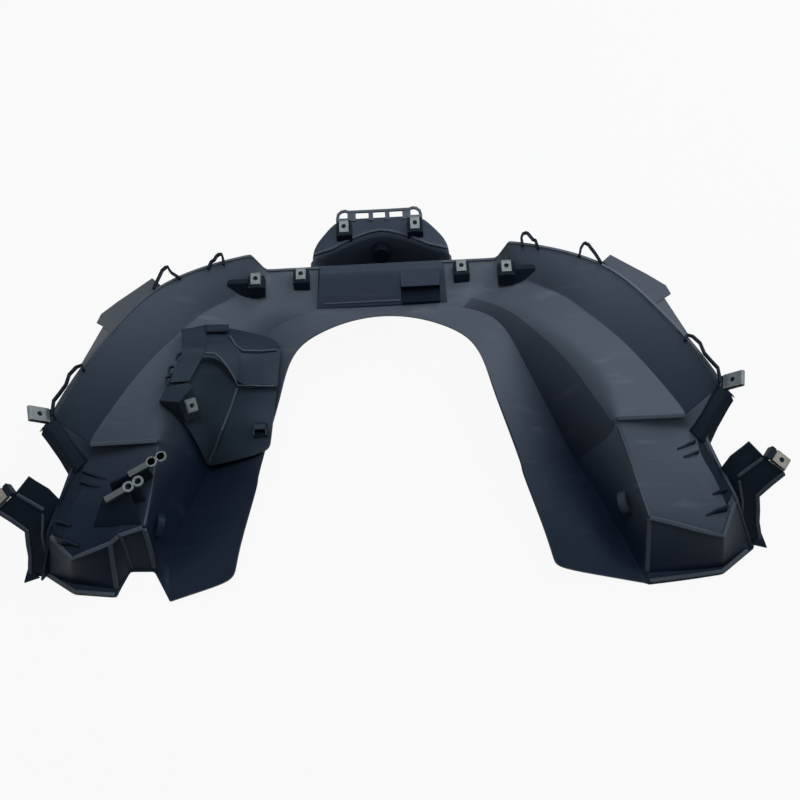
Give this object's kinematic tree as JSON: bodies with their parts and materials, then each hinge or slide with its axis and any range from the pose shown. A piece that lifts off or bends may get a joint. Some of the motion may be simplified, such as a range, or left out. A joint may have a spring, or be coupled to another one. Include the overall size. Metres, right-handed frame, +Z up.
{
  "type": "motorcycle belly pan",
  "caption": "U-shaped black plastic fairing belly pan, hidden side up, with a nose tray, folded wings, clip towers, spring nuts, a side cover and latch plates.",
  "frame": {"origin": "centre of the bounding box in X and Y, on the floor that the legs and the nose rest on", "axes": "+X across the machine, +Y from the leg fronts towards the nose, +Z up from the outer face to the hidden face"},
  "size_m": [0.7484, 0.4117, 0.1088],
  "materials": {
    "black_plastic": "satin moulded black plastic",
    "cover_plastic": "smooth moulded black plastic",
    "zinc": "zinc plated spring steel",
    "pale_zinc": "dull yellowed zinc"
  },
  "bodies": {
    "root": {"main_panel": "black_plastic", "left_side_cover": "cover_plastic", "cover_insert": "cover_plastic", "cover_spring_nut": "zinc", "band_nut_left_outer": "zinc", "band_nut_left_inner": "zinc", "band_nut_right_inner": "zinc", "band_nut_right_outer": "zinc", "nose_nut_left": "zinc", "nose_nut_right": "zinc", "shoulder_nut_left": "zinc", "shoulder_nut_right": "zinc", "tower_nut_left": "pale_zinc", "tower_nut_right": "pale_zinc", "upper_latch_plate": "zinc", "lower_latch_plate": "zinc"}
  },
  "joints": []
}
